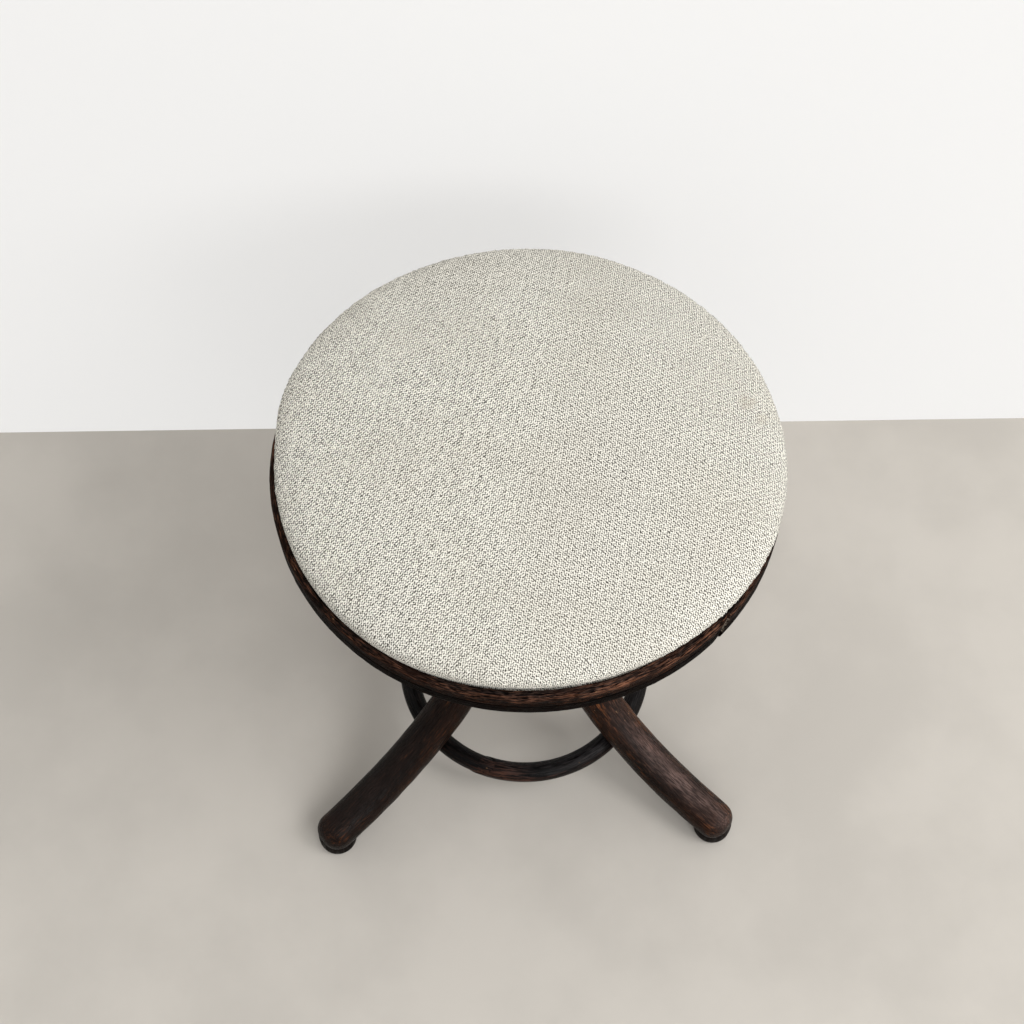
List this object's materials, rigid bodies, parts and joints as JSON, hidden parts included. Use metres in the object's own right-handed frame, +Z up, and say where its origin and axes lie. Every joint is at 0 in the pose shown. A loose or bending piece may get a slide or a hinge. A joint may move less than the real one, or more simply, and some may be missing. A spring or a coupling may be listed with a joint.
{
  "type": "revolving piano stool",
  "caption": "Round upholstered stool whose seat turns on a screw spindle to change its height, on bent wooden legs joined by a low brace ring.",
  "frame": {"origin": "on the floor, on the axis of the screw spindle, midway between the four feet", "axes": "+Z up along the spindle, +X to the right and -Y to the front as the picture sees the stool"},
  "size_m": [0.375, 0.375, 0.445],
  "materials": {
    "stained_beech": "dark brown stain, satin, worn at the edges",
    "rim_beech": "dark brown stain, satin, rubbed reddish along the top edge",
    "black_beech": "near-black stain, satin",
    "rail_beech": "unfinished, aged",
    "plywood": "unfinished",
    "padding": "matt foam",
    "cover_cloth": "matt woven greige upholstery cloth with a small regular texture",
    "cast_iron": "dark, semi-matt",
    "black_iron": "blackened, semi-matt",
    "worn_steel": "greased, lightly worn",
    "steel_screws": "dull",
    "brass": "dull, worn"
  },
  "bodies": {
    "base": {"hub": "stained_beech", "spindle_nut": "cast_iron", "nut_screw_1": "steel_screws", "nut_screw_2": "steel_screws", "nut_screw_3": "steel_screws", "nut_screw_4": "steel_screws", "guide_bush": "brass", "brace_ring": "black_beech", "leg_front_left": "stained_beech", "leg_screw_lower_front_left": "black_iron", "leg_screw_upper_front_left": "black_iron", "ring_screw_front_left": "steel_screws", "foot_front_left": "stained_beech", "foot_screw_front_left": "steel_screws", "leg_front_right": "stained_beech", "leg_screw_lower_front_right": "black_iron", "leg_screw_upper_front_right": "black_iron", "ring_screw_front_right": "steel_screws", "foot_front_right": "stained_beech", "foot_screw_front_right": "steel_screws", "leg_rear_right": "stained_beech", "leg_screw_lower_rear_right": "black_iron", "leg_screw_upper_rear_right": "black_iron", "ring_screw_rear_right": "steel_screws", "foot_rear_right": "stained_beech", "foot_screw_rear_right": "steel_screws", "leg_rear_left": "stained_beech", "leg_screw_lower_rear_left": "black_iron", "leg_screw_upper_rear_left": "black_iron", "ring_screw_rear_left": "steel_screws", "foot_rear_left": "stained_beech", "foot_screw_rear_left": "steel_screws"},
    "stop": {"stop_washer": "worn_steel"},
    "seat": {"spindle": "worn_steel", "stop_collar": "cast_iron", "collar_pin": "steel_screws", "seat_flange": "cast_iron", "flange_pin": "steel_screws", "flange_screw_1": "steel_screws", "flange_screw_2": "steel_screws", "flange_screw_3": "steel_screws", "flange_screw_4": "steel_screws", "seat_rail": "rail_beech", "rail_screw_1": "steel_screws", "rail_screw_2": "steel_screws", "rail_screw_3": "steel_screws", "rail_screw_4": "steel_screws", "seat_rim_front": "rim_beech", "seat_rim_rear": "rim_beech", "rim_screw_1": "steel_screws", "rim_screw_2": "steel_screws", "rim_screw_3": "steel_screws", "rim_screw_4": "steel_screws", "rim_screw_5": "steel_screws", "rim_screw_6": "steel_screws", "seat_board": "plywood", "seat_pad": "padding", "seat_cover": "cover_cloth"}
  },
  "joints": [
    {"name": "seat_lift", "type": "slide", "parent": "base", "child": "stop", "axis": [0, 0, 1], "range_m": [0, 0.0965]},
    {"name": "seat_turn", "type": "hinge", "parent": "stop", "child": "seat", "pos_m": [0, 0, 0.34], "axis": [0, 0, 1], "range_deg": [0, 4320]}
  ],
  "couplings": [
    {"joint": "seat_lift", "follows": "seat_turn", "m_per_rad": 0.0012732}
  ]
}
